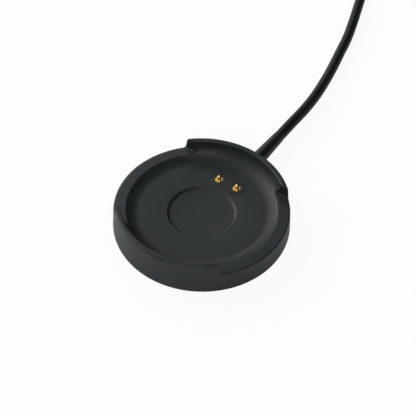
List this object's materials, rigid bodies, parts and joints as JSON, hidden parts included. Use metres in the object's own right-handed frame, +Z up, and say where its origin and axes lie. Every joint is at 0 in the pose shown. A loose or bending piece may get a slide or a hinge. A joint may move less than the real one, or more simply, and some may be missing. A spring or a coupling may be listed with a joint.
{
  "type": "smartwatch charging cable",
  "caption": "Round black charging dock for a smartwatch, with sprung contacts, strap cut-outs and a captive USB cable wound in a tied coil.",
  "frame": {"origin": "centre of the dock's foot, on the surface that it stands on", "axes": "+Z up; +Y towards the side where the cable leaves the dock; X along the watch's straps, across the two strap cut-outs"},
  "size_m": [0.0479, 0.1919, 0.0124],
  "materials": {
    "housing_black": "fine matt moulding texture, slightly cool black",
    "base_black": "matt moulded black",
    "pad_rubber": "soft matt rubber",
    "screw_steel": "zinc plated steel",
    "block_black": "smooth moulded black",
    "board_green": "solder mask over glass fibre board",
    "fuse_body": "fired chip body",
    "diode_body": "moulded epoxy",
    "magnet_plating": "nickel plating",
    "pin_brass": "turned brass",
    "pin_gold": "gold plating, polished",
    "spring_wire": "drawn steel wire",
    "wire_red": "red insulation",
    "wire_black": "black insulation",
    "relief_black": "satin moulded elastomer",
    "cable_jacket": "satin black jacket",
    "tie_black": "flat ribbon over a soft wire",
    "grip_black": "fine matt moulding texture",
    "core_white": "moulded inner body",
    "shell_steel": "bright nickel plated sheet",
    "tongue_white": "moulded insulator"
  },
  "bodies": {
    "root": {"cradle_shell": "housing_black", "base_cover": "base_black", "foot_pad": "pad_rubber", "base_screws": "screw_steel", "contact_block": "block_black", "circuit_board": "board_green", "fuse_chip": "fuse_body", "surge_diode": "diode_body", "left_magnet": "magnet_plating", "right_magnet": "magnet_plating", "left_pin_barrel": "pin_brass", "right_pin_barrel": "pin_brass", "left_pin_spring": "spring_wire", "right_pin_spring": "spring_wire", "power_wire": "wire_red", "ground_wire": "wire_black", "dock_strain_relief": "relief_black", "cable_lead": "cable_jacket", "cable_coil": "cable_jacket", "cable_tail": "cable_jacket", "coil_tie": "tie_black", "plug_strain_relief": "relief_black", "plug_grip": "grip_black", "plug_core": "core_white", "plug_shell": "shell_steel", "plug_tongue": "tongue_white", "plug_contacts": "pin_gold"},
    "left_pin": {"left_pin_plunger": "pin_gold"},
    "right_pin": {"right_pin_plunger": "pin_gold"}
  },
  "joints": [
    {"name": "left_pin_press", "type": "slide", "parent": "root", "child": "left_pin", "axis": [0, 0, -1], "range_m": [0, 0.0009], "stiffness_N_per_m": 600, "springref_m": -0.0006, "deforming": ["left_pin_spring"]},
    {"name": "right_pin_press", "type": "slide", "parent": "root", "child": "right_pin", "axis": [0, 0, -1], "range_m": [0, 0.0009], "stiffness_N_per_m": 600, "springref_m": -0.0006, "deforming": ["right_pin_spring"]}
  ]
}
